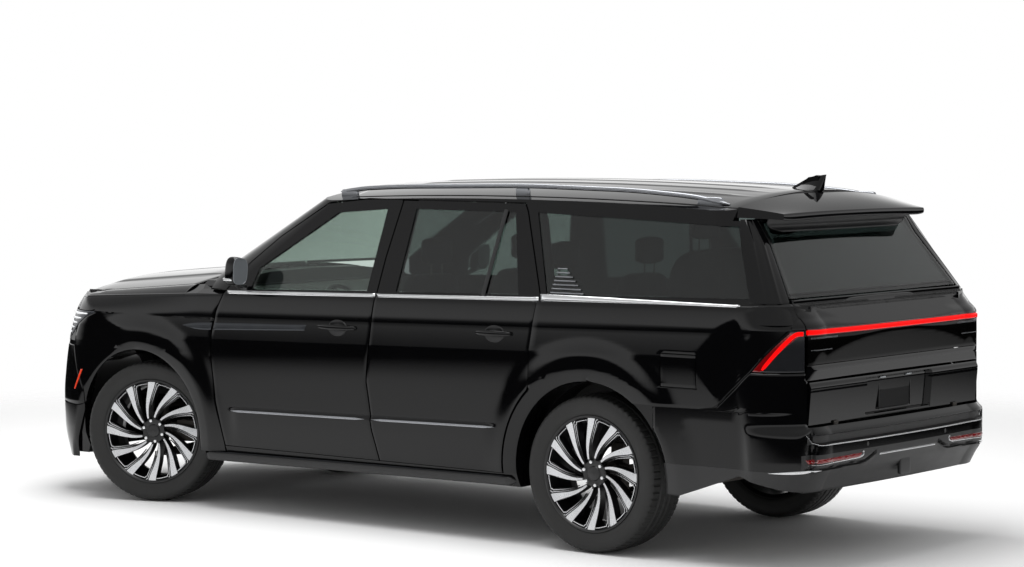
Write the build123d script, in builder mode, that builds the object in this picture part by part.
from build123d import *
import math
import os

# Full-size sport utility vehicle, millimetres. +X is forward, +Y is left, +Z is up.
# The origin lies on the ground below the middle of the body.

# Overall sizes
BODY_FRONT_X = 2818.0
BODY_REAR_X = -2818.0
BODY_HALF_WIDTH = 1014.0
GROUND_CLEARANCE = 250.0

# Wheels and axles
FRONT_AXLE_X = 1858.0
REAR_AXLE_X = -1485.0
TYRE_RADIUS = 419.0
TYRE_WIDTH = 285.0
RIM_RADIUS = 308.0
RIM_WALL = 14.0
RIM_FACE_OUTSET = 128.0
WHEEL_PLANE_Y = 855.0
KINGPIN_Y = 790.0
STEER_REST_DEG = 20.0
SPOKE_COUNT = 12
SPOKE_HUB_HALF = 13.0
SPOKE_RIM_HALF = 52.0
SPOKE_DEPTH = 42.0
HUB_RADIUS = 74.0
DISC_RADIUS = 190.0
DISC_THICKNESS = 30.0
DISC_INSET = 10.0
HUB_SEAT_Y = 815.0
RUNNING_CLEARANCE = 0.3
MOVING_CLEARANCE = 6.0

# Wheel arches
ARCH_RADIUS = 490.0
FLARE_RADIUS = 567.0
FRONT_HOUSING_Y = 476.0
REAR_HOUSING_Y = 690.0
HOUSING_SHEET = 14.0

# Lower body heights
SILL_BOTTOM_Z = 310.0
DOOR_BOTTOM_Z = 384.0
SILL_Z = 375.0
MID_Z = 600.0
WIDE_Z = 900.0

# Wall thicknesses
CABIN_HALF_WIDTH = 840.0
FLANGE_INNER_Y = 965.0
FRAME_INSET = 30.0
POST_OUTER_INSET = 50.0
WALL_INSET = 90.0
ROOF_THICKNESS = 35.0
ROOF_PANEL_HALF = 786.0
GLASS_THICKNESS = 6.0
SKIN = 30.0

# Panel gaps
DOOR_GAP = 8.5
PANEL_GAP = 6.0
GLASS_GAP = 0.3

# Inboard limit of the door frames
ROOF_RAIL_Y = 812.0

# Rear lids, side view places
GATE_FRONT_X = -2288.0
ROOF_REAR_X = -2280.0
GATE_AXIS_X = -2292.0
GATE_AXIS_Z = 1880.0
GATE_BOTTOM_Z = 972.0
TAIL_AXIS_X = -2748.0
TAIL_AXIS_Z = 749.0
TAIL_TOP_Z = 964.0
TAIL_HALF = 842.0
TAIL_INNER_X = -2680.0
TAIL_HINGE_Y = 600.0
LID_HINGE_Y = 120.0
LID_HINGE_WIDTH = 40.0
LID_HINGE_RADIUS = 6.0
PLATE_HALF = 158.0
PLATE_Z = (774.0, 936.0)
PLATE_RECESS = 22.0

# Hood
HOOD_HALF = 866.0
HOOD_REAR_X = 1500.0
HOOD_AXIS_X = 1510.0
HOOD_EDGE_Z = 1130.0
HOOD_SHEET = 26.0

# Roof
ROOF_PEAK_X = -812.0
ROOF_PEAK_Z = 1937.0
ROOF_LONG_RADIUS = 28500.0
ROOF_CROWN_RADIUS = 4000.0
ROOF_SWEEP_DEG = 9.0

# Greenhouse outlines at two heights
GREENHOUSE_LOW_Z = 1250.0
GREENHOUSE_HIGH_Z = 1950.0

# Door hinges
HINGE_Y = 993.0
FRONT_HINGE_X = 1135.0
REAR_HINGE_X = -35.0
HINGE_HEIGHTS = (820.0, 1080.0)
HINGE_HEIGHT = 40.0
HINGE_RADIUS = 7.0
HINGE_NOTCH = 9.5
PLUG_SETBACK = 20.0

# Pillars
A_POST_REAR_X = 1127.0
A_POST_FRONT_X = 1300.0
A_POST_OUTER_Y = 868.0
B_POST_REAR_X = -43.0
B_POST_FRONT_X = 105.0
B_POST_OUTER_Y = 895.0
B_POST_CAP_Y = 930.0
FRONT_PLUG_REAR_X = 118.0
REAR_PLUG_REAR_X = -900.0
PLUG_BOTTOM_Z = 412.0

# Floor and frame
FLOOR_Z = 530.0
FLOOR_SHEET = 25.0
LOAD_FLOOR_Z = 720.0
FLOOR_STEP_X = -930.0
FIREWALL_X = 1300.0
FIREWALL_THICKNESS = 36.0
FLOOR_REAR_X = -2670.0
RAIL_INNER_Y = 400.0
RAIL_OUTER_Y = 460.0
RAIL_DEPTH = 130.0

# Lower body sections from nose to tail: half widths and heights of each corner.
# x, bottom_y, sill_y, mid_y, wide_y, crease_y, crease_z, shoulder_y, shoulder_z, top_y, top_z, crown_z
BODY_SECTIONS = (
    (2830.0, 940.0, 975.0, 990.0, 1000.0, 1004.0, 1096.0, 962.0, 1165.0, 870.0, 1188.0, 1275.0),
    (2300.0, 940.0, 980.0, 1000.0, 1011.0, 1014.0, 1107.0, 968.0, 1212.0, 870.0, 1236.0, 1326.0),
    (1380.0, 945.0, 985.0, 1000.0, 1012.0, 1014.0, 1126.0, 1000.0, 1261.0, 870.0, 1313.0, 1405.0),
    (-2830.0, 945.0, 985.0, 1000.0, 1012.0, 1014.0, 1212.0, 1000.0, 1339.0, 870.0, 1391.0, 1483.0),
)

# Plan corners, left half: x, y, share of the level's shift in x, narrowing per shift
NOSE_PLAN = ((2300.0, 1010.0, 0.25, 0.0), (2630.0, 885.0, 0.8, 0.12), (2790.0, 560.0, 1.0, 0.2))
TAIL_PLAN = ((-2420.0, 1008.0, 0.3, 0.0), (-2690.0, 925.0, 0.85, 0.25), (-2755.0, 700.0, 1.0, 0.2))
TAIL_X = -2775.0
CORNER_INSET = 0.7
# Levels of the body and of the rear bumper: z, shift of the nose, shift of the tail
BODY_LEVELS = (
    (190.0, -70.0, 0.0), (420.0, -6.0, 0.0), (600.0, 0.0, 0.0), (764.0, -18.0, 0.0), (932.0, -52.0, 0.0),
    (1050.0, -94.0, 0.0), (1130.0, -138.0, 0.0), (1230.0, -232.0, 4.0), (1320.0, -338.0, 82.0), (1590.0, -400.0, 110.0),
)
BUMPER_LEVELS = (
    (190.0, 0.0, 60.0), (405.0, 0.0, 25.0), (520.0, 0.0, -36.0), (565.0, 0.0, -43.0), (605.0, 0.0, -43.0),
    (640.0, 0.0, -34.0), (690.0, 0.0, -28.0), (736.0, 0.0, -12.0), (1100.0, 0.0, 0.0),
)

# Greenhouse plan outline points, left half, at the low and the high level.
# name: (x, y) at the low level, (x, y) at the high level
GREENHOUSE_PLAN = {
    "rear_centre": ((-2712.0, 0.0), (-2239.0, 0.0)),
    "rear_corner": ((-2695.0, 820.0), (-2222.0, 633.0)),
    "rear_round": ((-2662.0, 948.0), (-2189.0, 761.0)),
    "side_rear": ((-2540.0, 1005.0), (-2067.0, 818.0)),
    "side_front": ((1180.0, 1005.0), (247.0, 818.0)),
    "front_round": ((1440.0, 930.0), (306.0, 796.0)),
    "front_corner": ((1610.0, 800.0), (351.0, 753.0)),
    "front_centre": ((1740.0, 0.0), (457.0, 0.0)),
}

# Seams as points in the side view, (x, z)
A_SEAM = ((1163.0, 384.0), (1225.0, 643.0), (1247.0, 900.0), (1240.0, 1030.0), (1205.0, 1169.0), (1155.0, 1276.0))
A_PILLAR_LINE = ((999.0, 1453.0), (804.0, 1606.0), (464.0, 1801.0), (187.0, 1830.0))
B_SEAM_UPPER = ((-91.0, 1829.0), (-31.0, 1512.0), (-5.0, 1289.0))
B_SEAM_LOWER = ((20.0, 1052.0), (50.0, 828.0), (15.0, 551.0), (-28.0, 384.0))
C_SEAM = ((-1105.0, 1052.0), (-1150.0, 1346.0), (-978.0, 1783.0), (-951.0, 1826.0))
FRONT_GLASS = ((954.0, 1300.0), (905.0, 1425.0), (376.0, 1749.0), (16.0, 1776.0), (67.0, 1324.0))
REAR_GLASS = ((-143.0, 1325.0), (-192.0, 1780.0), (-893.0, 1779.0), (-1000.0, 1344.0))
QUARTER_GLASS = ((-1190.0, 1350.0), (-1045.0, 1778.0), (-2318.0, 1732.0), (-2470.0, 1376.0))

# Head lamp, grille and intake; the lamp outline is in the side view
LAMP_SIDE = (
    (2225.0, 1112.0), (2225.0, 1122.0), (2900.0, 1122.0), (2900.0, 905.0), (2600.0, 925.0), (2505.0, 962.0),
    (2400.0, 1035.0), (2310.0, 1084.0),
)
LAMP_GAP = 0.5
GRILLE_HALF = 560.0
GRILLE_FRAME = 36.0
GRILLE_BOTTOM_Z = 560.0
GRILLE_TOP_Z = 1096.0
GRILLE_RECESS = 28.0
GRILLE_BAR = 9.0
GRILLE_PITCH = 38.0
BUMPER_WALL = 45.0
NOSE_WALL = 60.0
INTAKE_HALF = 620.0
INTAKE_Z = (372.0, 498.0)
FRONT_BUMPER_TOP_Z = 1122.0

# Front wheel liner
LINER_WALL = 12.0
LINER_LOW_Y = 955.0
LINER_HIGH_Y = 985.0
LINER_STEP_Z = 650.0

# Rear bumper and tail pipes
BUMPER_TOP_Z = 736.0
SHELF_THICKNESS = 36.0
BUMPER_FOOT = ((-2830.0, 400.0), (-2700.0, 400.0), (-2430.0, 480.0), (-2060.0, 350.0), (-1900.0, 350.0))
HITCH_WINDOW = 38.0
TAIL_SHELF_HALF = 880.0
LAMP_INNER_Y = 872.0
PIPE_Y = 250.0
PIPE_Z = 470.0
PIPE_RADIUS = 36.0
PIPE_REAR_X = -2700.0

os.makedirs("parts", exist_ok=True)


def side_prism(outline, y_from, y_to):
    """Solid between two y planes from an outline in the side view."""
    with BuildPart() as prism:
        with BuildSketch(Plane.XZ.offset(-y_from)):
            with BuildLine():
                Polyline(*outline, close=True)
            make_face()
        extrude(amount=-(y_to - y_from))
    return prism.part


def front_prism(outline, x_from, x_to):
    """Solid between two x planes from an outline in the front view."""
    with BuildPart() as prism:
        with BuildSketch(Plane.YZ.offset(x_from)):
            with BuildLine():
                Polyline(*outline, close=True)
            make_face()
        extrude(amount=x_to - x_from)
    return prism.part


def plan_prism(outline, z_from, z_to):
    """Solid between two z planes from an outline in the plan view."""
    with BuildPart() as prism:
        with BuildSketch(Plane.XY.offset(z_from)):
            with BuildLine():
                Polyline(*outline, close=True)
            make_face()
        extrude(amount=z_to - z_from)
    return prism.part


def block(x_from, x_to, y_from, y_to, z_from, z_to):
    """Box between pairs of planes."""
    with BuildPart() as box:
        with BuildSketch(Plane.XY.offset(z_from)):
            with Locations(((x_from + x_to) / 2, (y_from + y_to) / 2)):
                Rectangle(x_to - x_from, y_to - y_from)
        extrude(amount=z_to - z_from)
    return box.part


def cross_rod(x, z, radius, y_from, y_to):
    """Cylinder along Y."""
    with BuildPart() as rod:
        with BuildSketch(Plane.XZ.offset(-y_from)):
            with Locations((x, z)):
                Circle(radius)
        extrude(amount=-(y_to - y_from))
    return rod.part


def both_sides(outline):
    """Front view outline with a mirrored copy of its left half points."""
    return list(outline) + [(-y, z) for y, z in reversed(outline) if y > 0]


def grow(outline, amount):
    """Closed outline offset outwards with sharp corners."""
    area = sum(a[0] * b[1] - b[0] * a[1] for a, b in zip(outline, outline[1:] + outline[:1]))
    turn = 1.0 if area > 0 else -1.0
    grown = []
    for i, here in enumerate(outline):
        before, after = outline[i - 1], outline[(i + 1) % len(outline)]
        u = Vector(here[0] - before[0], here[1] - before[1]).normalized()
        v = Vector(after[0] - here[0], after[1] - here[1]).normalized()
        n1, n2 = Vector(u.Y, -u.X) * turn, Vector(v.Y, -v.X) * turn
        middle = (n1 + n2).normalized()
        reach = amount / max(0.3, middle.dot(n1))
        grown.append((here[0] + middle.X * reach, here[1] + middle.Y * reach))
    return grown


def lower_loft(inset):
    """Lower body between the sections, drawn in by an inset at the sides and the top."""
    with BuildPart() as body:
        for row in BODY_SECTIONS:
            x, bottom_y, sill_y, mid_y, wide_y, crease_y, crease_z, shoulder_y, shoulder_z = row[:9]
            top_y, top_z, crown_z = row[9:]
            half = [
                (bottom_y - inset, GROUND_CLEARANCE), (sill_y - inset, SILL_Z), (mid_y - inset, MID_Z),
                (wide_y - inset, WIDE_Z), (crease_y - inset, crease_z),
                (shoulder_y - inset, shoulder_z - inset / 2), (top_y - inset, top_z - inset),
            ]
            with BuildSketch(Plane.YZ.offset(x)):
                with BuildLine():
                    Polyline(*half)
                    ThreePointArc(half[-1], (0, crown_z - inset), (-half[-1][0], half[-1][1]))
                    Polyline(*[(-y, z) for y, z in reversed(half)])
                    Line((-half[0][0], half[0][1]), half[0])
                make_face()
        loft(ruled=True)
    return body.part


def greenhouse_loft(inset):
    """Closed volume inside the windows, drawn in by an inset."""
    with BuildPart() as cabin:
        for level, z in ((0, GREENHOUSE_LOW_Z), (1, GREENHOUSE_HIGH_Z)):
            p = {name: points[level] for name, points in GREENHOUSE_PLAN.items()}

            def at(name, side, dx, dy):
                return (p[name][0] + dx * inset, side * (p[name][1] - dy * inset))

            with BuildSketch(Plane.XY.offset(z)):
                with BuildLine():
                    rear = [at("rear_corner", s, 1, 1) for s in (-1, 1)]
                    front = [at("front_corner", s, -1, 0.8) for s in (1, -1)]
                    ThreePointArc(rear[0], at("rear_centre", 1, 1, 0), rear[1])
                    ThreePointArc(rear[1], at("rear_round", 1, 0.9, 0.9), at("side_rear", 1, 0.5, 1))
                    Line(at("side_rear", 1, 0.5, 1), at("side_front", 1, -0.9, 1))
                    ThreePointArc(at("side_front", 1, -0.9, 1), at("front_round", 1, -0.85, 0.85), front[0])
                    ThreePointArc(front[0], at("front_centre", 1, -1, 0), front[1])
                    ThreePointArc(front[1], at("front_round", -1, -0.85, 0.85), at("side_front", -1, -0.9, 1))
                    Line(at("side_front", -1, -0.9, 1), at("side_rear", -1, 0.5, 1))
                    ThreePointArc(at("side_rear", -1, 0.5, 1), at("rear_round", -1, 0.9, 0.9), rear[0])
                make_face()
        loft(ruled=True)
    return cabin.part


def under_roof(drop):
    """Everything below the crowned roof surface, lowered by a drop."""
    lean = math.radians(ROOF_SWEEP_DEG)
    axis_z = ROOF_PEAK_Z - ROOF_LONG_RADIUS
    start = Plane(
        origin=(ROOF_PEAK_X, 0, axis_z), x_dir=(0, 1, 0), z_dir=(math.cos(lean), 0, -math.sin(lean))
    )
    half = 1150.0
    top = ROOF_LONG_RADIUS - drop
    fall = ROOF_CROWN_RADIUS - math.sqrt(ROOF_CROWN_RADIUS**2 - half**2)
    depth = 1100.0
    with BuildPart() as roof:
        with BuildSketch(start):
            with BuildLine():
                ThreePointArc((half, top - fall), (0, top), (-half, top - fall))
                Line((-half, top - fall), (-half, top - depth))
                Line((-half, top - depth), (half, top - depth))
                Line((half, top - depth), (half, top - fall))
            make_face()
        revolve(axis=Axis((ROOF_PEAK_X, 0, axis_z), (0, -1, 0)), revolution_arc=2 * ROOF_SWEEP_DEG)
    return roof.part


def plan_stack(levels, inset):
    """Volume between plan outlines at rising heights, with round nose and tail corners."""
    side_y = BODY_HALF_WIDTH + 6.0 - inset
    with BuildPart() as stack:
        for z, nose_shift, tail_shift in levels:
            nose = [
                (x + nose_shift * pull - inset, y + nose_shift * slim - inset * CORNER_INSET)
                for x, y, pull, slim in NOSE_PLAN
            ]
            tail = [
                (x + tail_shift * pull + inset, y - tail_shift * slim - inset * CORNER_INSET)
                for x, y, pull, slim in TAIL_PLAN
            ]
            with BuildSketch(Plane.XY.offset(z)):
                with BuildLine():
                    for s in (1, -1):
                        n = [(x, s * y) for x, y in nose]
                        t = [(x, s * y) for x, y in tail]
                        ThreePointArc(n[0], n[1], n[2])
                        ThreePointArc(t[0], t[1], t[2])
                        Polyline(n[0], (n[0][0] - 260.0, s * side_y), (t[0][0] + 260.0, s * side_y), t[0])
                    ThreePointArc(nose[2], (BODY_FRONT_X + nose_shift - inset, 0), (nose[2][0], -nose[2][1]))
                    ThreePointArc(tail[2], (TAIL_X + tail_shift + inset, 0), (tail[2][0], -tail[2][1]))
                make_face()
        loft(ruled=True)
    return stack.part


def side_profile(inset):
    """Side view of the lower body, with the stepped tail and the shelf below the rear window."""
    with BuildPart() as profile:
        with BuildSketch(Plane.XZ):
            with BuildLine():
                Polyline(
                    (2900.0, 240.0), (2900.0, 1500.0), (1440.0, 1500.0), (1250.0, 1300.0),
                    (-2600.0 + inset, 1345.0), (-2640.0 + inset, 1352.0), (-2774.0 + inset, 1224.0),
                    (-2774.0 + inset, 1200.0), (-2747.0 + inset, 1046.0), (-2754.0 + inset, 1022.0),
                    (-2738.0 + inset, 966.0), (-2752.0 + inset, 930.0), (-2752.0 + inset, 300.0),
                    (-2500.0, 240.0), (2900.0, 240.0),
                )
            make_face()
        extrude(amount=1200.0, both=True)
    return profile.part


with BuildPart() as lower_envelope:
    add(lower_loft(0.0))
    add(plan_stack(BODY_LEVELS, 0.0), mode=Mode.INTERSECT)
    add(side_profile(0.0), mode=Mode.INTERSECT)

with BuildPart() as cabin_envelope:
    add(greenhouse_loft(0.0))
    add(under_roof(0.0), mode=Mode.INTERSECT)

with BuildPart() as envelope:
    add(lower_envelope.part)
    add(cabin_envelope.part)

with BuildPart() as frame_core:
    add(greenhouse_loft(FRAME_INSET))
    add(under_roof(ROOF_THICKNESS), mode=Mode.INTERSECT)

with BuildPart() as cabin_core:
    add(greenhouse_loft(WALL_INSET))
    add(under_roof(ROOF_THICKNESS), mode=Mode.INTERSECT)


def arc_points(centre_x, radius, from_deg, to_deg, count):
    """Points on a wheel arch circle, angles from +X towards +Z."""
    turns = [math.radians(from_deg + (to_deg - from_deg) * i / (count - 1)) for i in range(count)]
    return [(centre_x + radius * math.cos(a), TYRE_RADIUS + radius * math.sin(a)) for a in turns]


# Outlines of the doors in the side view
flare_cut = FLARE_RADIUS + DOOR_GAP
flare_top = math.degrees(math.acos((C_SEAM[0][0] - REAR_AXLE_X) / flare_cut))
flare_foot = math.degrees(math.asin((DOOR_BOTTOM_Z - TYRE_RADIUS) / flare_cut))
front_door_outline = list(A_SEAM) + list(A_PILLAR_LINE) + list(B_SEAM_UPPER) + list(B_SEAM_LOWER)
rear_door_outline = (
    list(reversed(B_SEAM_LOWER)) + list(reversed(B_SEAM_UPPER)) + list(reversed(C_SEAM))
    + arc_points(REAR_AXLE_X, flare_cut, flare_top, flare_foot, 6)
)
front_plug = (FRONT_PLUG_REAR_X, FRONT_HINGE_X - PLUG_SETBACK)
rear_plug = (REAR_PLUG_REAR_X, REAR_HINGE_X - PLUG_SETBACK)
OUT_Y = 1200.0
LOW_Y = 600.0

front_opening = side_prism(grow(front_door_outline, DOOR_GAP / 2), LOW_Y, OUT_Y)
rear_opening = side_prism(grow(rear_door_outline, DOOR_GAP / 2), LOW_Y, OUT_Y)
front_arch_cut = cross_rod(FRONT_AXLE_X, TYRE_RADIUS, ARCH_RADIUS, LOW_Y, OUT_Y)
rear_arch_cut = cross_rod(REAR_AXLE_X, TYRE_RADIUS, ARCH_RADIUS, LOW_Y, OUT_Y)


def door_blank(outline, plug, hinge_x, glass):
    """Door of the left side: skin flange, thick middle, window frame and hinge notches."""
    plug_rear_x, plug_front_x = plug
    with BuildPart() as door:
        add(envelope.part)
        add(side_prism(grow(outline, -DOOR_GAP / 2), LOW_Y, OUT_Y), mode=Mode.INTERSECT)
        add(block(-3000, 3000, 0, CABIN_HALF_WIDTH, 0, 1300.0), mode=Mode.SUBTRACT)
        add(frame_core.part, mode=Mode.SUBTRACT)
        add(block(-3000, 3000, 0, ROOF_RAIL_Y, 1300.0, 2000.0), mode=Mode.SUBTRACT)
        for x_from, x_to, z_from, z_to in (
            (-3000.0, plug_rear_x, 0.0, 1300.0),
            (plug_front_x, 3000.0, 0.0, 1300.0),
            (-3000.0, 3000.0, 0.0, PLUG_BOTTOM_Z),
        ):
            add(block(x_from, x_to, 0, FLANGE_INNER_Y, z_from, z_to), mode=Mode.SUBTRACT)
        add(side_prism(glass, LOW_Y, OUT_Y), mode=Mode.SUBTRACT)
        for z in HINGE_HEIGHTS:
            add(
                block(
                    hinge_x - HINGE_RADIUS - MOVING_CLEARANCE, hinge_x + 300.0,
                    0, HINGE_Y + HINGE_NOTCH,
                    z - HINGE_HEIGHT / 2 - RUNNING_CLEARANCE, z + HINGE_HEIGHT / 2 + RUNNING_CLEARANCE,
                ),
                mode=Mode.SUBTRACT,
            )
    return door.part


def window_pane(outline, inset):
    """Side window on the left: a thin pane behind the outer face of the frame."""
    with BuildPart() as pane:
        add(greenhouse_loft(inset))
        add(side_prism(grow(outline, -GLASS_GAP), LOW_Y, OUT_Y), mode=Mode.INTERSECT)
        add(greenhouse_loft(inset + GLASS_THICKNESS), mode=Mode.SUBTRACT)
    return pane.part


# Rear lid, lamp and bumper outlines
GATE_SIDE = ((858.0, 960.0), (858.0, 1230.0), (835.0, 1372.0), (725.0, 1660.0), (725.0, 1750.0))
gate_outline = both_sides([(GATE_SIDE[0][0], 900.0)] + list(GATE_SIDE) + [(800.0, 1750.0), (800.0, 2000.0)])
GATE_INSIDE = (
    (-2262.0, 1800.0), (-2573.0, 1341.0), (-2694.0, 1215.0), (-2694.0, 900.0), (-2000.0, 900.0), (-2000.0, 1800.0),
)
REAR_WINDOW = ((770.0, 1385.0), (655.0, 1672.0))
BUMPER_SEAM = (
    (-1900.0, 797.0), (-2185.0, 809.0), (-2296.0, 824.0), (-2398.0, 916.0), (-2512.0, 1013.0), (-2830.0, 1013.0),
)
LAMP_OUTLINE = ((-2512.0, 1013.0), (-2674.0, 1200.0), (-2690.0, 1224.0), (-2830.0, 1224.0), (-2830.0, 1013.0))
WINDSHIELD_SIDE = ((815.0, 1395.0), (722.0, 1812.0))
WINDSHIELD_TOP_Z = 1868.0
FUEL_FLAP = ((-2180.0, 911.0), (-1960.0, 911.0), (-1960.0, 1082.0), (-2180.0, 1082.0))
FUEL_POCKET_Y = 960.0
FLAP_AXIS_X = -1963.0
FLAP_SHEET = 5.0
FLAP_GAP = 6.5
fuel_pocket = side_prism(grow(list(FUEL_FLAP), FLAP_GAP), FUEL_POCKET_Y, OUT_Y)
gate_opening = front_prism(gate_outline, -3000.0, GATE_FRONT_X + 6.0)
tail_opening = block(-3000.0, -2600.0, -TAIL_HALF - 8.0, TAIL_HALF + 8.0, 600.0, 980.0)
windshield_outline = both_sides(
    [(WINDSHIELD_SIDE[0][0], 1300.0)] + list(WINDSHIELD_SIDE) + [(400.0, 1851.0), (0.0, WINDSHIELD_TOP_Z)]
)
windshield_opening = front_prism(grow(windshield_outline, PANEL_GAP), 200.0, 2000.0)
header_cut = front_prism(
    both_sides([(1000.0, 1200.0), (1000.0, 1760.0), (722.0, 1819.0), (400.0, 1858.0)]) , 200.0, 2000.0
)
cabin_space = block(-2680.0, 1500.0, -CABIN_HALF_WIDTH, CABIN_HALF_WIDTH, 0.0, 1300.0)


def hinge_leaf(hinge_x, post_y, z):
    """Door hinge leaf from a post to a round eye on the hinge axis."""
    with BuildPart() as leaf:
        with BuildSketch(Plane.XY.offset(z - HINGE_HEIGHT / 2)):
            with Locations((hinge_x, HINGE_Y)):
                Circle(HINGE_RADIUS)
            with Locations((hinge_x, (post_y + HINGE_Y) / 2)):
                Rectangle(2 * HINGE_RADIUS, HINGE_Y - post_y)
        extrude(amount=HINGE_HEIGHT)
    return leaf.part


with BuildPart() as header:
    add(block(200.0, 2000.0, 0, ROOF_PANEL_HALF, 1700.0, 2000.0))
    add(header_cut, mode=Mode.SUBTRACT)
with BuildPart() as upper_post:
    add(greenhouse_loft(POST_OUTER_INSET))
    add(side_prism(((105.0, 1280.0), (-43.0, 1280.0), (-140.0, 1880.0), (-50.0, 1880.0)), LOW_Y, OUT_Y),
        mode=Mode.INTERSECT)
    add(under_roof(10.0), mode=Mode.INTERSECT)
    add(greenhouse_loft(WALL_INSET), mode=Mode.SUBTRACT)
    add(block(-300.0, 200.0, 0, ROOF_PANEL_HALF, 1808.0, 2000.0), mode=Mode.SUBTRACT)
with BuildPart() as flap_stop:
    add(lower_loft(FLAP_SHEET + RUNNING_CLEARANCE))
    add(block(-2160.0, -2130.0, FUEL_POCKET_Y - 2.0, OUT_Y, 940.0, 1050.0), mode=Mode.INTERSECT)


def body_side(with_flap):
    """Left side frame: sill, pillars, roof side, rear quarter and hinge posts."""
    with BuildPart() as side:
        add(envelope.part)
        add(block(-2750, A_POST_FRONT_X, LOW_Y, OUT_Y, SILL_BOTTOM_Z, 1990), mode=Mode.INTERSECT)
        add(cabin_space, mode=Mode.SUBTRACT)
        add(cabin_core.part, mode=Mode.SUBTRACT)
        add(block(GATE_FRONT_X, 200.0, 0, ROOF_PANEL_HALF, 1700.0, 2000.0), mode=Mode.SUBTRACT)
        add(block(200.0, 2000.0, 0, WINDSHIELD_SIDE[1][0], 1300.0, 2000.0), mode=Mode.SUBTRACT)
        add(header.part, mode=Mode.SUBTRACT)
        add(windshield_opening, mode=Mode.SUBTRACT)
        add(front_opening, mode=Mode.SUBTRACT)
        add(rear_opening, mode=Mode.SUBTRACT)
        add(rear_arch_cut, mode=Mode.SUBTRACT)
        add(block(1090.0, 3000, 0, OUT_Y, DOOR_BOTTOM_Z - DOOR_GAP / 2, 1293.0), mode=Mode.SUBTRACT)
        add(gate_opening, mode=Mode.SUBTRACT)
        add(tail_opening, mode=Mode.SUBTRACT)
        add(block(-3000, GATE_FRONT_X + 6.0, 0, OUT_Y, 1760.0, 2000.0), mode=Mode.SUBTRACT)
        add(block(-3000, -2600, 0, 870.0, 0, 1330.0), mode=Mode.SUBTRACT)
        add(side_prism(list(BUMPER_SEAM) + [(-2830.0, 100.0), (-1900.0, 100.0)], LOW_Y, OUT_Y), mode=Mode.SUBTRACT)
        add(side_prism(LAMP_OUTLINE, LOW_Y, OUT_Y), mode=Mode.SUBTRACT)
        add(side_prism(QUARTER_GLASS, LOW_Y, OUT_Y), mode=Mode.SUBTRACT)
        add(block(A_POST_REAR_X, A_POST_FRONT_X, CABIN_HALF_WIDTH, A_POST_OUTER_Y, SILL_BOTTOM_Z + 40, 1340.0))
        add(block(B_POST_REAR_X, B_POST_FRONT_X, CABIN_HALF_WIDTH, B_POST_OUTER_Y, SILL_BOTTOM_Z + 40, 1300.0))
        add(block(B_POST_REAR_X, B_POST_FRONT_X, CABIN_HALF_WIDTH, B_POST_CAP_Y, 1240.0, 1300.0))
        for hinge_x, post_y in ((FRONT_HINGE_X, A_POST_OUTER_Y), (REAR_HINGE_X, B_POST_OUTER_Y)):
            for z in HINGE_HEIGHTS:
                add(hinge_leaf(hinge_x, post_y, z))
        add(upper_post.part)
        if with_flap:
            add(fuel_pocket, mode=Mode.SUBTRACT)
            add(flap_stop.part)
    return side.part


with BuildPart() as front_liner:
    add(cross_rod(FRONT_AXLE_X, TYRE_RADIUS, ARCH_RADIUS + LINER_WALL, FRONT_HOUSING_Y, LINER_HIGH_Y))
    add(cross_rod(FRONT_AXLE_X, TYRE_RADIUS, ARCH_RADIUS, 0.0, OUT_Y), mode=Mode.SUBTRACT)
    add(block(1000.0, 3000.0, 0.0, OUT_Y, -200.0, TYRE_RADIUS + LINER_WALL), mode=Mode.SUBTRACT)
    add(block(1000.0, 3000.0, LINER_LOW_Y, OUT_Y, 0.0, LINER_STEP_Z), mode=Mode.SUBTRACT)


def fender():
    """Left front fender: a shell over the front wheel with its liner, back to the door and up to the hood."""
    nose = (
        (2440.0, FRONT_BUMPER_TOP_Z + 1.0), (2440.0, 900.0), (2395.0, 760.0), (2330.0, 640.0), (2330.0, 100.0),
        (3000.0, 100.0), (3000.0, FRONT_BUMPER_TOP_Z + 1.0),
    )
    with BuildPart() as shell:
        add(lower_envelope.part)
        add(block(1090.0, 2600.0, LOW_Y, OUT_Y, DOOR_BOTTOM_Z - 60.0, 1500.0), mode=Mode.INTERSECT)
        add(lower_loft(SKIN), mode=Mode.SUBTRACT)
        add(block(1090.0, 3000.0, 0, HOOD_HALF + PANEL_GAP, 900.0, 1600.0), mode=Mode.SUBTRACT)
        add(front_opening, mode=Mode.SUBTRACT)
        add(block(1000.0, A_SEAM[0][0], 0, OUT_Y, 0.0, 1600.0), mode=Mode.SUBTRACT)
        add(side_prism(((800.0, 1284.0), (1380.0, 1284.0), (1500.0, 1340.0), (1500.0, 1700.0), (800.0, 1700.0)),
            LOW_Y, OUT_Y), mode=Mode.SUBTRACT)
        add(block(1000.0, 1340.0, 0, OUT_Y, 0.0, DOOR_BOTTOM_Z - DOOR_GAP / 2), mode=Mode.SUBTRACT)
        add(front_arch_cut, mode=Mode.SUBTRACT)
        add(front_liner.part)
        add(side_prism(nose, LOW_Y, OUT_Y), mode=Mode.SUBTRACT)
        add(side_prism(grow(list(LAMP_SIDE), LAMP_GAP), LOW_Y, OUT_Y), mode=Mode.SUBTRACT)
    return shell.part


def steered(side, offset_y, z=TYRE_RADIUS):
    """Place on the steered hub line, turned with the front wheels."""
    turn = math.radians(STEER_REST_DEG)
    x = FRONT_AXLE_X - side * offset_y * math.sin(turn)
    y = side * KINGPIN_Y + side * offset_y * math.cos(turn)
    return Location((x, y, z), (0, 0, STEER_REST_DEG + (0 if side > 0 else 180)))


def rear_place(side, y):
    """Place on the rear hub line."""
    return Location((REAR_AXLE_X, side * y, TYRE_RADIUS), (0, 0, 0 if side > 0 else 180))


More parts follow.
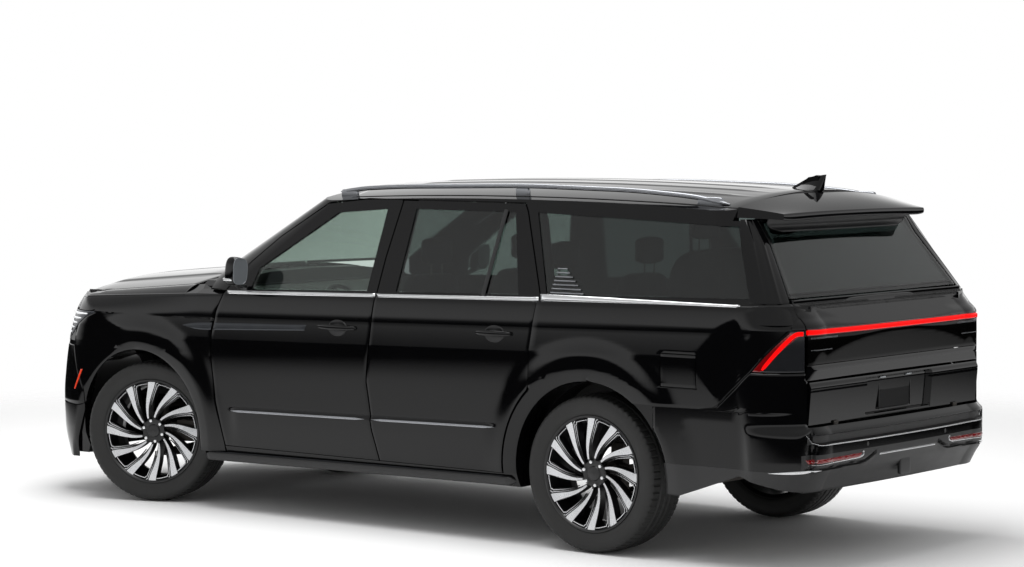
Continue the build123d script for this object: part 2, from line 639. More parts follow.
WHEEL_PLACES = {
    "front_left": steered(1, WHEEL_PLANE_Y - KINGPIN_Y),
    "front_right": steered(-1, WHEEL_PLANE_Y - KINGPIN_Y),
    "rear_left": rear_place(1, WHEEL_PLANE_Y),
    "rear_right": rear_place(-1, WHEEL_PLANE_Y),
}

# Wheel sections along the axle: the wheel is modelled at the origin with its outer face to +Y.
half_tyre = TYRE_WIDTH / 2
with BuildPart() as tyre_master:
    with BuildSketch(Plane.XY):
        with BuildLine():
            Polyline(
                (RIM_RADIUS, -half_tyre + 18.0), (RIM_RADIUS + 45.0, -half_tyre), (TYRE_RADIUS - 40.0, -half_tyre + 6.0),
                (TYRE_RADIUS - 6.0, -half_tyre + 34.0), (TYRE_RADIUS, -40.0), (TYRE_RADIUS, 40.0),
                (TYRE_RADIUS - 6.0, half_tyre - 34.0), (TYRE_RADIUS - 40.0, half_tyre - 6.0),
                (RIM_RADIUS + 45.0, half_tyre), (RIM_RADIUS, half_tyre - 18.0), close=True,
            )
        make_face()
    revolve(axis=Axis.Y)

seat_y = HUB_SEAT_Y - WHEEL_PLANE_Y
with BuildPart() as rim_master:
    with BuildSketch(Plane.XY):
        with BuildLine():
            Polyline(
                (RIM_RADIUS, -half_tyre + 18.0), (RIM_RADIUS, RIM_FACE_OUTSET - 10.0), (RIM_RADIUS - 6.0, RIM_FACE_OUTSET),
                (RIM_RADIUS - RIM_WALL, RIM_FACE_OUTSET - 6.0), (RIM_RADIUS - RIM_WALL - 4.0, 0.0),
                (RIM_RADIUS - RIM_WALL, -half_tyre + 18.0), close=True,
            )
        make_face()
    revolve(axis=Axis.Y)
    with BuildSketch(Plane.XZ.offset(-RIM_FACE_OUTSET + SPOKE_DEPTH)) as spokes:
        with PolarLocations(0, SPOKE_COUNT):
            Polygon(
                (HUB_RADIUS - 14.0, -SPOKE_HUB_HALF), (RIM_RADIUS - 10.0, -SPOKE_RIM_HALF),
                (RIM_RADIUS - 10.0, SPOKE_RIM_HALF), (HUB_RADIUS - 14.0, SPOKE_HUB_HALF), align=None,
            )
    extrude(amount=-(SPOKE_DEPTH - 8.0))
    with BuildSketch(Plane.XZ.offset(-seat_y)):
        Circle(HUB_RADIUS)
    extrude(amount=-(RIM_FACE_OUTSET - 14.0 - seat_y))
    with BuildSketch(Plane.XZ.offset(-seat_y - DISC_INSET)):
        Circle(DISC_RADIUS)
    extrude(amount=-DISC_THICKNESS)

# Steering knuckles, at the wheel's place with the hub line along Y
KNUCKLE_BOTTOM_Z = 292.0
KNUCKLE_TOP_Z = 548.0
KNUCKLE_RADIUS = 24.0
ARM_THICKNESS = 34.0
CALIPER_GAP = 6.0
disc_from = seat_y + DISC_INSET
kingpin_y = KINGPIN_Y - WHEEL_PLANE_Y
with BuildPart() as knuckle_master:
    with BuildSketch(Plane.XY.offset(KNUCKLE_BOTTOM_Z - TYRE_RADIUS + RUNNING_CLEARANCE)):
        with Locations((0, kingpin_y)):
            Circle(KNUCKLE_RADIUS)
    extrude(amount=KNUCKLE_TOP_Z - KNUCKLE_BOTTOM_Z - 2 * RUNNING_CLEARANCE)
    with BuildSketch(Plane.XZ.offset(-kingpin_y)):
        Circle(58.0)
    extrude(amount=-(seat_y - RUNNING_CLEARANCE - kingpin_y))
    add(block(-230.0, -20.0, kingpin_y - 12.0, kingpin_y + 12.0, -40.0, 40.0))
    add(block(-232.0, -120.0, kingpin_y - 12.0, disc_from - CALIPER_GAP, -62.0, 62.0))
    add(block(-232.0, -120.0, disc_from + DISC_THICKNESS + CALIPER_GAP, disc_from + DISC_THICKNESS + 26.0, -62.0, 62.0))
    add(block(-232.0, -DISC_RADIUS - CALIPER_GAP, kingpin_y - 12.0, disc_from + DISC_THICKNESS + 26.0, -62.0, 62.0))

pieces = {}
for name, place in WHEEL_PLACES.items():
    pieces["tyre_" + name] = tyre_master.part.moved(place)
    pieces["rim_" + name] = rim_master.part.moved(place)
for name in ("front_left", "front_right"):
    pieces["knuckle_" + name.split("_")[1]] = knuckle_master.part.moved(WHEEL_PLACES[name])

pieces["front_door_left"] = door_blank(front_door_outline, front_plug, FRONT_HINGE_X, FRONT_GLASS)
pieces["rear_door_left"] = door_blank(rear_door_outline, rear_plug, REAR_HINGE_X, REAR_GLASS)
pieces["front_glass_left"] = window_pane(FRONT_GLASS, 6.0)
pieces["rear_glass_left"] = window_pane(REAR_GLASS, 6.0)
pieces["fender_left"] = fender()
for name in ("front_door", "rear_door", "front_glass", "rear_glass", "fender"):
    pieces[name + "_right"] = mirror(pieces[name + "_left"], about=Plane.XZ)
pieces["body_side_left"] = body_side(True)
pieces["body_side_right"] = mirror(body_side(False), about=Plane.XZ)

# Door mirrors: a housing on a short arm that stands on the door's shoulder
MIRROR_X = (925.0, 1020.0)
MIRROR_Y = (1035.0, 1170.0)
MIRROR_Z = (1316.0, 1492.0)
with BuildPart() as mirror_left:
    add(block(*MIRROR_X, *MIRROR_Y, *MIRROR_Z))
    fillet(mirror_left.edges().filter_by(Axis.X), 50.0)
    fillet(mirror_left.faces().sort_by(Axis.X)[-1].edges(), 28.0)
    add(front_prism(((960.0, 1300.0), (1060.0, 1318.0), (1060.0, 1350.0), (960.0, 1330.0)), 900.0, 1010.0))
    add(pieces["front_door_left"], mode=Mode.SUBTRACT)
    add(pieces["front_glass_left"], mode=Mode.SUBTRACT)
pieces["mirror_left"] = mirror_left.part.solids().sort_by(SortBy.VOLUME)[-1]
pieces["mirror_right"] = mirror(pieces["mirror_left"], about=Plane.XZ)

# Quarter windows and windshield
with BuildPart() as quarter_left:
    add(greenhouse_loft(6.0))
    add(side_prism(grow(list(QUARTER_GLASS), -GLASS_GAP), LOW_Y, OUT_Y), mode=Mode.INTERSECT)
    add(greenhouse_loft(12.0), mode=Mode.SUBTRACT)
    add(gate_opening, mode=Mode.SUBTRACT)
with BuildPart() as quarter_glass:
    add(quarter_left.part)
    mirror(quarter_left.part, about=Plane.XZ)
pieces["quarter_glass"] = quarter_glass.part
with BuildPart() as windshield:
    add(greenhouse_loft(4.0))
    add(front_prism(grow(windshield_outline, PANEL_GAP - GLASS_GAP), 200.0, 2000.0), mode=Mode.INTERSECT)
    add(block(200.0, 2000.0, -1000, 1000, 1390.0, 2000.0), mode=Mode.INTERSECT)
    add(greenhouse_loft(4.0 + GLASS_THICKNESS), mode=Mode.SUBTRACT)
    add(header_cut, mode=Mode.INTERSECT)
pieces["windshield"] = windshield.part

# Roof panel with the aerial fin
FIN_OUTLINE = ((-2090.0, 1890.0), (-2105.0, 1915.0), (-2199.0, 1963.0), (-2255.0, 1980.0), (-2268.0, 1976.0), (-2262.0, 1885.0))
with BuildPart() as roof_bay:
    add(greenhouse_loft(4.0 + GLASS_THICKNESS))
    add(block(ROOF_REAR_X - 60.0, 1000.0, -1000, 1000, 1400.0, 2000.0), mode=Mode.INTERSECT)
    add(under_roof(ROOF_THICKNESS), mode=Mode.INTERSECT)
with BuildPart() as roof_panel:
    add(cabin_envelope.part)
    add(block(ROOF_REAR_X, 1000.0, -ROOF_PANEL_HALF, ROOF_PANEL_HALF, 1500.0, 2000.0), mode=Mode.INTERSECT)
    add(roof_bay.part, mode=Mode.SUBTRACT)
    add(header_cut, mode=Mode.SUBTRACT)
    add(side_prism(FIN_OUTLINE, -14.0, 14.0))
    for s in (1, -1):
        add(cross_rod(GATE_AXIS_X, GATE_AXIS_Z, LID_HINGE_RADIUS, s * LID_HINGE_Y - LID_HINGE_WIDTH / 2,
            s * LID_HINGE_Y + LID_HINGE_WIDTH / 2))
        add(block(GATE_AXIS_X, ROOF_REAR_X + 5.0, s * LID_HINGE_Y - LID_HINGE_WIDTH / 2,
            s * LID_HINGE_Y + LID_HINGE_WIDTH / 2, GATE_AXIS_Z - LID_HINGE_RADIUS, GATE_AXIS_Z + LID_HINGE_RADIUS))
pieces["roof_panel"] = roof_panel.part

# Roof rails on feet along both roof edges
RAIL_Y = 745.0
RAIL_TOP = ((470.0, 1872.0), (380.0, 1896.0), (-1980.0, 1896.0), (-2180.0, 1856.0))
with BuildPart() as roof_rails:
    for s in (1, -1):
        add(side_prism(((440.0, 1850.0), (380.0, 1890.0), (0.0, 1905.0), (-871.0, 1912.0), (-1700.0, 1900.0),
            (-2007.0, 1880.0), (-2190.0, 1840.0), (-2190.0, 1800.0), (440.0, 1780.0)),
            s * RAIL_Y - 16.0, s * RAIL_Y + 16.0))
    add(under_roof(0.0), mode=Mode.SUBTRACT)
pieces["roof_rails"] = roof_rails.part

# Hood with eyes on a rear hinge line, and the cowl that carries it
HOOD_AXIS_Z = 1378.0
COWL_TOP_Z = 1372.0
with BuildPart() as hood_bay:
    add(lower_loft(HOOD_SHEET))
    add(plan_stack(BODY_LEVELS, HOOD_SHEET), mode=Mode.INTERSECT)
with BuildPart() as hood:
    add(lower_envelope.part)
    add(block(HOOD_REAR_X, 3000.0, -HOOD_HALF, HOOD_HALF, HOOD_EDGE_Z, 1500.0), mode=Mode.INTERSECT)
    add(hood_bay.part, mode=Mode.SUBTRACT)
    for s in (1, -1):
        y = s * LID_HINGE_Y
        add(block(HOOD_REAR_X, HOOD_AXIS_X + 12.0, y - LID_HINGE_WIDTH / 2 - RUNNING_CLEARANCE,
            y + LID_HINGE_WIDTH / 2 + RUNNING_CLEARANCE, 1300.0, 1500.0), mode=Mode.SUBTRACT)

with BuildPart() as cowl_panel:
    add(front_prism(both_sides(((CABIN_HALF_WIDTH - 4.0, 1180.0), (CABIN_HALF_WIDTH - 4.0, 1296.0), (800.0, 1326.0),
        (400.0, COWL_TOP_Z - 8.0), (0.0, COWL_TOP_Z))), FIREWALL_X + FIREWALL_THICKNESS, HOOD_REAR_X - 18.0))
    for s in (1, -1):
        add(cross_rod(HOOD_AXIS_X, HOOD_AXIS_Z, LID_HINGE_RADIUS, s * LID_HINGE_Y - LID_HINGE_WIDTH / 2,
            s * LID_HINGE_Y + LID_HINGE_WIDTH / 2))
        add(block(HOOD_REAR_X - 24.0, HOOD_AXIS_X, s * LID_HINGE_Y - LID_HINGE_WIDTH / 2,
            s * LID_HINGE_Y + LID_HINGE_WIDTH / 2, HOOD_AXIS_Z - 20.0, HOOD_AXIS_Z + LID_HINGE_RADIUS - 2.0))
pieces["cowl_panel"] = cowl_panel.part
pieces["hood"] = hood.part

# Floor: front floor, step, load floor, firewall and rear wheel housings
with BuildPart() as floor_pan:
    add(side_prism(((FIREWALL_X + FIREWALL_THICKNESS, FLOOR_Z), (FIREWALL_X + FIREWALL_THICKNESS, 1296.0),
        (FIREWALL_X, 1296.0), (FIREWALL_X, FLOOR_Z + FLOOR_SHEET), (FLOOR_STEP_X, FLOOR_Z + FLOOR_SHEET),
        (FLOOR_STEP_X, LOAD_FLOOR_Z + FLOOR_SHEET), (FLOOR_REAR_X, LOAD_FLOOR_Z + FLOOR_SHEET),
        (FLOOR_REAR_X, LOAD_FLOOR_Z), (FLOOR_STEP_X - FLOOR_SHEET, LOAD_FLOOR_Z), (FLOOR_STEP_X - FLOOR_SHEET, FLOOR_Z)),
        -CABIN_HALF_WIDTH, CABIN_HALF_WIDTH))
    for s in (1, -1):
        y_from, y_to = sorted((s * (REAR_HOUSING_Y - HOUSING_SHEET), s * (CABIN_HALF_WIDTH - 2.0)))
        add(cross_rod(REAR_AXLE_X, TYRE_RADIUS, ARCH_RADIUS + HOUSING_SHEET, y_from, y_to))
    for s in (1, -1):
        y_from, y_to = sorted((s * REAR_HOUSING_Y, s * (CABIN_HALF_WIDTH + 2.0)))
        add(cross_rod(REAR_AXLE_X, TYRE_RADIUS, ARCH_RADIUS, y_from, y_to), mode=Mode.SUBTRACT)
    add(block(-2100.0, -900.0, -900.0, 900.0, -100.0, FLOOR_Z - 40.0), mode=Mode.SUBTRACT)
    add(cross_rod(REAR_AXLE_X, TYRE_RADIUS, 170.0, -900.0, 900.0), mode=Mode.SUBTRACT)
pieces["floor_pan"] = floor_pan.part

# Ladder frame with its crossmembers and the hitch receiver
RAIL_SIDE = (
    (2560.0, 680.0), (1520.0, 680.0), (1370.0, FLOOR_Z), (-970.0, FLOOR_Z), (-1110.0, LOAD_FLOOR_Z),
    (-2640.0, LOAD_FLOOR_Z), (-2640.0, 590.0), (-1100.0, 590.0), (-940.0, 400.0), (1340.0, 400.0),
    (1500.0, 580.0), (2560.0, 580.0),
)
# x, width, bottom z, top z
CROSSMEMBERS = (
    (2520.0, 60.0, 590.0, 670.0), (1400.0, 60.0, 540.0, 600.0), (600.0, 80.0, 400.0, 440.0),
    (-300.0, 80.0, 400.0, 440.0), (-1160.0, 70.0, 600.0, 700.0), (-1900.0, 70.0, 600.0, 700.0),
    (-2600.0, 80.0, 600.0, 700.0),
)
HITCH_BORE = 51.0
HITCH_TUBE = 64.0
HITCH_Z = 500.0
HITCH_REAR_X = -2770.0
with BuildPart() as chassis_frame:
    for s in (1, -1):
        add(side_prism(RAIL_SIDE, *sorted((s * RAIL_INNER_Y, s * RAIL_OUTER_Y))))
    for x, width, z_from, z_to in CROSSMEMBERS:
        add(block(x - width / 2, x + width / 2, -RAIL_INNER_Y, RAIL_INNER_Y, z_from, z_to))
    add(block(-2640.0, -2570.0, -60.0, 60.0, HITCH_Z - HITCH_TUBE / 2, 620.0))
    add(block(HITCH_REAR_X, -2500.0, -HITCH_TUBE / 2, HITCH_TUBE / 2, HITCH_Z - HITCH_TUBE / 2, HITCH_Z + HITCH_TUBE / 2))
    add(block(HITCH_REAR_X - 1.0, -2600.0, -HITCH_BORE / 2, HITCH_BORE / 2, HITCH_Z - HITCH_BORE / 2,
        HITCH_Z + HITCH_BORE / 2), mode=Mode.SUBTRACT)
pieces["chassis_frame"] = chassis_frame.part

GEARBOX_HALF = 150.0
GEARBOX_TOP_Z = 528.0
with BuildPart() as engine_block:
    add(block(1560.0, 2280.0, -310.0, 310.0, 600.0, 1120.0))
    add(block(1460.0, 1560.0, -GEARBOX_HALF, GEARBOX_HALF, GEARBOX_TOP_Z, 900.0))
    add(block(2240.0, 2400.0, -RAIL_INNER_Y, RAIL_INNER_Y, 600.0, 660.0))
pieces["engine_block"] = engine_block.part

# Front arms and cross beam: each arm ends under or over the kingpin
ARM_INNER_Y = 380.0
with BuildPart() as front_suspension:
    for s in (1, -1):
        for z_from, z_to, half_root in (
            (KNUCKLE_BOTTOM_Z - ARM_THICKNESS, KNUCKLE_BOTTOM_Z, 150.0),
            (KNUCKLE_TOP_Z, KNUCKLE_TOP_Z + ARM_THICKNESS - 10.0, 110.0),
        ):
            add(plan_prism(((FRONT_AXLE_X - half_root, s * ARM_INNER_Y), (FRONT_AXLE_X - 24.0, s * (KINGPIN_Y + 18.0)),
                (FRONT_AXLE_X + 24.0, s * (KINGPIN_Y + 18.0)), (FRONT_AXLE_X + half_root, s * ARM_INNER_Y)), z_from, z_to))
    add(block(FRONT_AXLE_X - 150.0, FRONT_AXLE_X + 150.0, -ARM_INNER_Y - 10.0, ARM_INNER_Y + 10.0,
        KNUCKLE_BOTTOM_Z - ARM_THICKNESS, KNUCKLE_BOTTOM_Z + 20.0))
    for s in (1, -1):
        add(block(FRONT_AXLE_X - 110.0, FRONT_AXLE_X + 110.0, *sorted((s * ARM_INNER_Y, s * (ARM_INNER_Y - 30.0))),
            KNUCKLE_BOTTOM_Z, KNUCKLE_TOP_Z + ARM_THICKNESS - 10.0))
    for s in (1, -1):
        add(block(FRONT_AXLE_X - 110.0, FRONT_AXLE_X + 110.0, *sorted((s * (ARM_INNER_Y - 30.0), s * RAIL_OUTER_Y)),
            KNUCKLE_TOP_Z, 580.0))
    add(cross_rod(FRONT_AXLE_X, TYRE_RADIUS, 80.0, -130.0, 130.0))
    add(block(FRONT_AXLE_X - 80.0, FRONT_AXLE_X + 80.0, -60.0, 60.0, KNUCKLE_BOTTOM_Z, TYRE_RADIUS))
    add(cross_rod(FRONT_AXLE_X, TYRE_RADIUS, 17.0, -KINGPIN_Y + 110.0, KINGPIN_Y - 110.0))
pieces["front_suspension"] = front_suspension.part

with BuildPart() as rear_suspension:
    add(cross_rod(REAR_AXLE_X, TYRE_RADIUS, 115.0, -110.0, 110.0))
    add(cross_rod(REAR_AXLE_X, TYRE_RADIUS, 19.0, -700.0, 700.0))
    add(block(REAR_AXLE_X - 170.0, REAR_AXLE_X + 170.0, -330.0, 330.0, 290.0, 330.0))
    for s in (1, -1):
        add(cross_rod(REAR_AXLE_X, TYRE_RADIUS, 58.0, *sorted((s * 730.0, s * (HUB_SEAT_Y - RUNNING_CLEARANCE)))))
        add(block(REAR_AXLE_X - 40.0, REAR_AXLE_X + 40.0, *sorted((s * 690.0, s * 745.0)), 270.0, 560.0))
        add(block(REAR_AXLE_X - 60.0, REAR_AXLE_X + 60.0, *sorted((s * 300.0, s * 720.0)), 270.0, 305.0))
        add(block(REAR_AXLE_X - 30.0, REAR_AXLE_X + 30.0, *sorted((s * RAIL_OUTER_Y, s * 720.0)), 530.0, 560.0))
        add(block(REAR_AXLE_X - 30.0, REAR_AXLE_X + 30.0, *sorted((s * (RAIL_INNER_Y + 10.0), s * RAIL_OUTER_Y)), 530.0, 590.0))
        add(block(REAR_AXLE_X - 205.0, REAR_AXLE_X - 40.0, *sorted((s * 770.0, s * 790.0)), 380.0, 458.0))
pieces["rear_suspension"] = rear_suspension.part

with BuildPart() as fuel_tank:
    add(block(-820.0, 200.0, 60.0, 395.0, 262.0, 400.0))
    fillet(fuel_tank.edges(), 30.0)
with BuildPart() as exhaust:
    add(block(-2560.0, -2000.0, 180.0, 380.0, 420.0, 560.0))
    fillet(exhaust.edges().filter_by(Axis.X), 60.0)
    add(block(-2320.0, -2280.0, 300.0, RAIL_INNER_Y, 540.0, 620.0))
    with BuildSketch(Plane.YZ.offset(-2560.0)):
        with Locations((PIPE_Y, PIPE_Z)):
            Circle(PIPE_RADIUS)
    extrude(amount=PIPE_REAR_X + 2560.0)
pieces["fuel_tank"] = fuel_tank.part
pieces["exhaust"] = exhaust.part

# Bumpers
with BuildPart() as bumper_inside:
    add(lower_loft(BUMPER_WALL))
    add(plan_stack(BODY_LEVELS, BUMPER_WALL), mode=Mode.INTERSECT)
with BuildPart() as nose_inside:
    add(plan_stack(BODY_LEVELS, NOSE_WALL))
    add(side_profile(0.0), mode=Mode.INTERSECT)
with BuildPart() as grille_floor:
    add(plan_stack(BODY_LEVELS, GRILLE_RECESS))
    add(side_profile(0.0), mode=Mode.INTERSECT)
with BuildPart() as nose_shell:
    add(lower_envelope.part)
    add(block(2200.0, 3000.0, -1100.0, 1100.0, GRILLE_BOTTOM_Z, HOOD_EDGE_Z - PANEL_GAP), mode=Mode.INTERSECT)
    add(nose_inside.part, mode=Mode.SUBTRACT)
with BuildPart() as intake_cut:
    add(block(2500.0, 3000.0, -INTAKE_HALF, INTAKE_HALF, *INTAKE_Z))
    add(grille_floor.part, mode=Mode.SUBTRACT)
with BuildPart() as front_bumper:
    add(lower_envelope.part)
    add(side_prism(((2440.0, FRONT_BUMPER_TOP_Z), (2440.0, 900.0), (2395.0, 757.0), (2334.0, 640.0), (2334.0, 300.0),
        (2372.0, 240.0), (3000.0, 240.0), (3000.0, FRONT_BUMPER_TOP_Z)), -OUT_Y, OUT_Y), mode=Mode.INTERSECT)
    add(bumper_inside.part, mode=Mode.SUBTRACT)
    add(side_prism(grow(list(LAMP_SIDE), LAMP_GAP), -OUT_Y, OUT_Y), mode=Mode.SUBTRACT)
    add(front_arch_cut, mode=Mode.SUBTRACT)
    add(mirror(front_arch_cut, about=Plane.XZ), mode=Mode.SUBTRACT)
    add(block(2300.0, 3000.0, -GRILLE_HALF, GRILLE_HALF, GRILLE_BOTTOM_Z, 1200.0), mode=Mode.SUBTRACT)
    add(intake_cut.part, mode=Mode.SUBTRACT)
pieces["front_bumper"] = front_bumper.part

# Grille: a recessed panel in a frame, with upright bars
with BuildPart() as grille_pocket:
    add(block(2300.0, 3000.0, GRILLE_FRAME - GRILLE_HALF, GRILLE_HALF - GRILLE_FRAME, GRILLE_BOTTOM_Z + GRILLE_FRAME,
        GRILLE_TOP_Z - GRILLE_FRAME))
    add(grille_floor.part, mode=Mode.SUBTRACT)
    bar_count = int((GRILLE_HALF - GRILLE_FRAME) / GRILLE_PITCH)
    for step in range(-bar_count, bar_count + 1):
        y = step * GRILLE_PITCH
        add(block(2300.0, 2800.0, y - GRILLE_BAR / 2, y + GRILLE_BAR / 2, 500.0, 1200.0), mode=Mode.SUBTRACT)
with BuildPart() as grille:
    add(nose_shell.part)
    add(block(2440.0, 3000.0, -GRILLE_HALF, GRILLE_HALF, GRILLE_BOTTOM_Z, 1200.0), mode=Mode.INTERSECT)
    add(grille_pocket.part, mode=Mode.SUBTRACT)
with BuildPart() as headlamps:
    add(nose_shell.part)
    add(side_prism(LAMP_SIDE, -OUT_Y, OUT_Y), mode=Mode.INTERSECT)
    add(block(2200.0, 3000.0, -GRILLE_HALF, GRILLE_HALF, 500.0, 1300.0), mode=Mode.SUBTRACT)
pieces["grille"] = grille.part
pieces["headlamps"] = headlamps.part

# Rear bumper: a skin that wraps round both corners, with a shelf below the tailgate
with BuildPart() as rear_hollow:
    add(plan_stack(BUMPER_LEVELS, BUMPER_WALL))
    add(block(-3000.0, 0.0, -OUT_Y, OUT_Y, 0.0, BUMPER_TOP_Z - SHELF_THICKNESS), mode=Mode.INTERSECT)
with BuildPart() as rear_bumper:
    add(lower_loft(0.0))
    add(plan_stack(BUMPER_LEVELS, 0.0), mode=Mode.INTERSECT)
    add(side_prism(grow(list(BUMPER_SEAM) + list(BUMPER_FOOT), -PANEL_GAP / 2), -OUT_Y, OUT_Y), mode=Mode.INTERSECT)
    add(block(FLOOR_REAR_X, 0.0, -TAIL_SHELF_HALF, TAIL_SHELF_HALF, 0.0, 1100.0), mode=Mode.SUBTRACT)
    add(rear_hollow.part, mode=Mode.SUBTRACT)
    add(rear_arch_cut, mode=Mode.SUBTRACT)
    add(mirror(rear_arch_cut, about=Plane.XZ), mode=Mode.SUBTRACT)
    add(block(-3000.0, -2600.0, -TAIL_HALF - 8.0, TAIL_HALF + 8.0, BUMPER_TOP_Z, 1200.0), mode=Mode.SUBTRACT)
    add(block(-3000.0, -2600.0, -862.0, 862.0, GATE_BOTTOM_Z - 6.0, 1200.0), mode=Mode.SUBTRACT)
    add(block(-2900.0, -2600.0, -HITCH_WINDOW, HITCH_WINDOW, HITCH_Z - HITCH_WINDOW, HITCH_Z + HITCH_WINDOW),
        mode=Mode.SUBTRACT)
    for s in (1, -1):
        y_from, y_to = s * TAIL_HINGE_Y - LID_HINGE_WIDTH / 2, s * TAIL_HINGE_Y + LID_HINGE_WIDTH / 2
        add(cross_rod(TAIL_AXIS_X, TAIL_AXIS_Z, LID_HINGE_RADIUS, y_from, y_to))
        add(block(TAIL_AXIS_X - LID_HINGE_RADIUS, TAIL_AXIS_X + LID_HINGE_RADIUS, y_from, y_to, 720.0, TAIL_AXIS_Z))
pieces["rear_bumper"] = rear_bumper.part

# Tail lamps on the body corners
with BuildPart() as lamp_left:
    add(lower_envelope.part)
    add(side_prism(LAMP_OUTLINE, LOW_Y, OUT_Y), mode=Mode.INTERSECT)
    add(block(-3000.0, -2300.0, 0.0, LAMP_INNER_Y, 900.0, 1300.0), mode=Mode.SUBTRACT)
with BuildPart() as tail_lamps:
    add(lamp_left.part)
    mirror(lamp_left.part, about=Plane.XZ)
pieces["tail_lamps"] = tail_lamps.part

# Liftgate with its spoiler; each section: x, half width, top at the centre and at the side, thickness
SPOILER_SECTIONS = (
    (GATE_FRONT_X, 794.0, 1888.0, 1815.0, 45.0),
    (-2486.0, 690.0, 1804.0, 1793.0, 43.0),
)
gate_core = side_prism(GATE_INSIDE, -1200.0, 1200.0)
with BuildPart() as spoiler:
    for x, half, top_y0, top_side, drop in SPOILER_SECTIONS:
        with BuildSketch(Plane.YZ.offset(x)):
            with BuildLine():
                ThreePointArc((half, top_side), (0.0, top_y0), (-half, top_side))
                Line((-half, top_side), (-half, top_side - drop))
                ThreePointArc((-half, top_side - drop), (0.0, top_y0 - drop), (half, top_side - drop))
                Line((half, top_side - drop), (half, top_side))
            make_face()
    loft(ruled=True)
with BuildPart() as liftgate:
    add(envelope.part)
    add(front_prism(grow(gate_outline, -PANEL_GAP / 2), -3000.0, GATE_FRONT_X), mode=Mode.INTERSECT)
    add(block(-3000.0, GATE_FRONT_X, -1000.0, 1000.0, GATE_BOTTOM_Z, 1790.0), mode=Mode.INTERSECT)
    add(gate_core, mode=Mode.SUBTRACT)
    add(front_prism(both_sides(REAR_WINDOW), -3000.0, -2200.0), mode=Mode.SUBTRACT)
    add(block(-2900.0, -2740.0, -850.0, 850.0, 1196.0, 1230.0), mode=Mode.SUBTRACT)
    add(spoiler.part)
    for s in (1, -1):
        y = s * LID_HINGE_Y
        add(block(GATE_AXIS_X - 13.0, ROOF_REAR_X, y - LID_HINGE_WIDTH / 2 - RUNNING_CLEARANCE,
            y + LID_HINGE_WIDTH / 2 + RUNNING_CLEARANCE, GATE_AXIS_Z - 13.0, 1990.0), mode=Mode.SUBTRACT)
pieces["liftgate"] = liftgate.part
with BuildPart() as liftgate_glass:
    add(greenhouse_loft(6.0))
    add(front_prism(grow(both_sides(REAR_WINDOW), -GLASS_GAP), -3000.0, -2200.0), mode=Mode.INTERSECT)
    add(greenhouse_loft(12.0), mode=Mode.SUBTRACT)
pieces["liftgate_glass"] = liftgate_glass.part
with BuildPart() as lamp_bar:
    add(block(-2772.0, -2740.0, -848.0, 848.0, 1197.0, 1229.0))
    add(lower_envelope.part, mode=Mode.INTERSECT)
pieces["lamp_bar"] = lamp_bar.part

with BuildPart() as tailgate:
    add(side_prism(((-2752.0, TAIL_AXIS_Z - 5.0), (TAIL_INNER_X, TAIL_AXIS_Z - 5.0), (TAIL_INNER_X, TAIL_TOP_Z - 14.0),
        (-2752.0, TAIL_TOP_Z)), -TAIL_HALF, TAIL_HALF))
    add(block(-2800.0, -2752.0 + PLATE_RECESS, -PLATE_HALF, PLATE_HALF, *PLATE_Z), mode=Mode.SUBTRACT)
    for s in (1, -1):
        y = s * TAIL_HINGE_Y
        add(block(-2800.0, TAIL_AXIS_X + 13.0, y - LID_HINGE_WIDTH / 2 - RUNNING_CLEARANCE,
            y + LID_HINGE_WIDTH / 2 + RUNNING_CLEARANCE, 700.0, TAIL_AXIS_Z + 13.0), mode=Mode.SUBTRACT)
pieces["tailgate"] = tailgate.part

with BuildPart() as fuel_flap:
    add(lower_loft(0.0))
    add(side_prism(FUEL_FLAP, LOW_Y, OUT_Y), mode=Mode.INTERSECT)
    add(lower_loft(FLAP_SHEET), mode=Mode.SUBTRACT)
pieces["fuel_flap"] = fuel_flap.part

with BuildPart() as propshaft:
    add(block(700.0, 1560.0, -GEARBOX_HALF, GEARBOX_HALF, 380.0, GEARBOX_TOP_Z))
    with BuildSketch(Plane.YZ.offset(-1370.0)):
        with Locations((0.0, 480.0)):
            Circle(36.0)
    extrude(amount=700.0 + 1370.0)
pieces["propshaft"] = propshaft.part

# Dashboard with console and steering column
WHEEL_CENTRE = (740.0, 410.0, 1130.0)
COLUMN_DEG = 25.0
column_tilt = math.radians(COLUMN_DEG)
column = Plane(
    origin=WHEEL_CENTRE, x_dir=(0, 1, 0), z_dir=(-math.cos(column_tilt), 0, math.sin(column_tilt))
)
HUB_DEPTH = 36.0
with BuildPart() as dashboard:
    add(side_prism(((FIREWALL_X, 760.0), (FIREWALL_X, 1288.0), (1160.0, 1288.0), (960.0, 1236.0), (880.0, 1150.0),
        (900.0, 1010.0), (1010.0, 900.0), (1120.0, 760.0)), -CABIN_HALF_WIDTH + 10.0, CABIN_HALF_WIDTH - 10.0))
    add(side_prism(((1050.0, FLOOR_Z + FLOOR_SHEET), (1050.0, 980.0), (860.0, 930.0), (-60.0, 860.0),
        (-60.0, FLOOR_Z + FLOOR_SHEET)), -130.0, 130.0))
    with BuildSketch(column.offset(-HUB_DEPTH - RUNNING_CLEARANCE)):
        Circle(34.0)
    extrude(amount=-260.0)
pieces["dashboard"] = dashboard.part

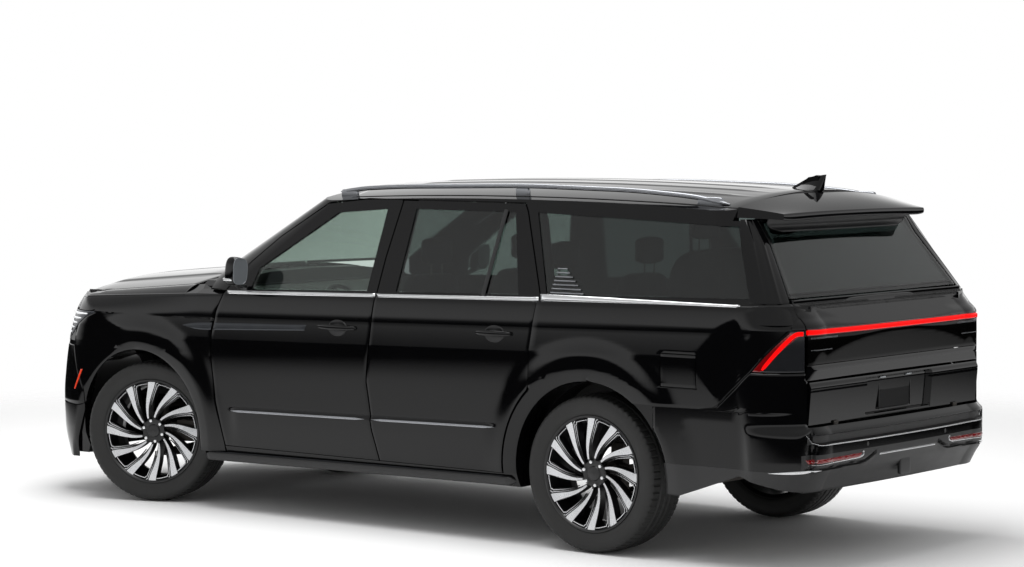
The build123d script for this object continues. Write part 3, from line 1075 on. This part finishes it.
with BuildPart() as steering_wheel:
    with BuildSketch(column.offset(-HUB_DEPTH)):
        Circle(62.0)
    extrude(amount=HUB_DEPTH)
    with BuildSketch(column.offset(-22.0)):
        with PolarLocations(95.0, 3, start_angle=30.0):
            Rectangle(190.0, 34.0)
    extrude(amount=14.0)
    with BuildSketch(Plane(origin=WHEEL_CENTRE, x_dir=(0, 1, 0), z_dir=column.y_dir)):
        with Locations((186.0, 0.0)):
            Circle(14.0)
    revolve(axis=Axis(WHEEL_CENTRE, column.z_dir))
pieces["steering_wheel"] = steering_wheel.part


def seat(x, y, floor_z, half_width, rests):
    """Seat on a base: cushion, leaning back and head restraints."""
    cushion_z = floor_z + 225.0
    with BuildPart() as chair:
        add(block(x + 60.0, x + 430.0, y - half_width + 70.0, y + half_width - 70.0, floor_z, cushion_z))
        add(block(x, x + 520.0, y - half_width, y + half_width, cushion_z, cushion_z + 125.0))
        add(side_prism(((x + 120.0, cushion_z), (x + 10.0, cushion_z + 640.0), (x - 110.0, cushion_z + 640.0),
            (x - 40.0, cushion_z)), y - half_width + 10.0, y + half_width - 10.0))
        for rest_y in rests:
            add(block(x - 112.0, x - 28.0, rest_y - 130.0, rest_y + 130.0, cushion_z + 665.0, cushion_z + 830.0))
            add(block(x - 80.0, x - 60.0, rest_y - 60.0, rest_y + 60.0, cushion_z + 600.0, cushion_z + 700.0))
    return chair.part


SEAT_ROWS = {
    "front_seats": ((110.0, FLOOR_Z + FLOOR_SHEET, 265.0, ((410.0, (410.0,)), (-410.0, (-410.0,)))),),
    "middle_seats": ((-800.0, FLOOR_Z + FLOOR_SHEET, 255.0, ((400.0, (400.0,)), (-400.0, (-400.0,)))),),
    "rear_bench": ((-1720.0, LOAD_FLOOR_Z + FLOOR_SHEET, 640.0, ((0.0, (380.0, -380.0)),)),),
}
for name, rows in SEAT_ROWS.items():
    for x, floor_z, half_width, chairs in rows:
        with BuildPart() as row:
            for y, rests in chairs:
                add(seat(x, y, floor_z, half_width, rests))
        pieces[name] = row.part

for name, piece in pieces.items():
    piece.label = name
    export_step(piece, "parts/%s.step" % name)
